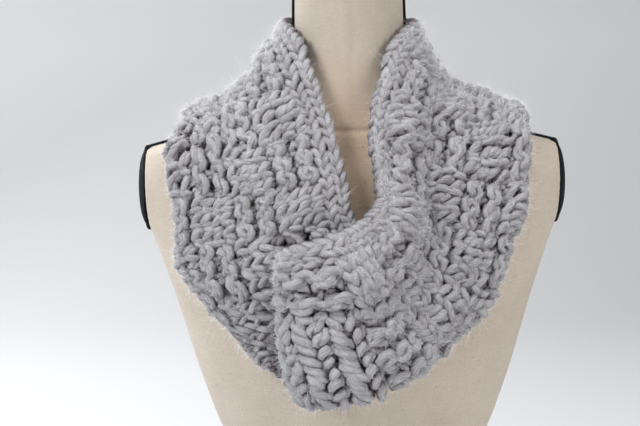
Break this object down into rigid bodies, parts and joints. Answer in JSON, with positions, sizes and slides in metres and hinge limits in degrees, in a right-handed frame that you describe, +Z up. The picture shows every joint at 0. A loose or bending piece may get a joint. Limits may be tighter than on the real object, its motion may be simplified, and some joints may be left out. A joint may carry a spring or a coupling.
{
  "type": "infinity scarf on a dress form",
  "caption": "Chunky basket-weave knitted infinity scarf draped round the neck of a limbless linen dress form, one end folded over the chest.",
  "frame": {"origin": "middle of the underside of the dress form's base, under the middle of all that is built", "axes": "+X towards the side where the scarf is not folded (the right of a viewer in front), +Y towards the back of the neck, +Z up; the front faces -Y"},
  "size_m": [0.3886, 0.2926, 0.7],
  "materials": {
    "grey_wool": "matte fluffy super-bulky wool yarn, held double",
    "linen": "matte slubbed linen stretched over a hard body",
    "black_braid": "matte black braid and cord"
  },
  "bodies": {
    "root": {"scarf_back": "grey_wool", "scarf_left_front": "grey_wool", "scarf_under_fold": "grey_wool", "scarf_front_fold": "grey_wool", "scarf_right_front": "grey_wool", "form_torso": "linen", "form_armhole_left": "black_braid", "form_armhole_right": "black_braid", "form_piping_left": "black_braid", "form_piping_right": "black_braid"}
  },
  "joints": []
}
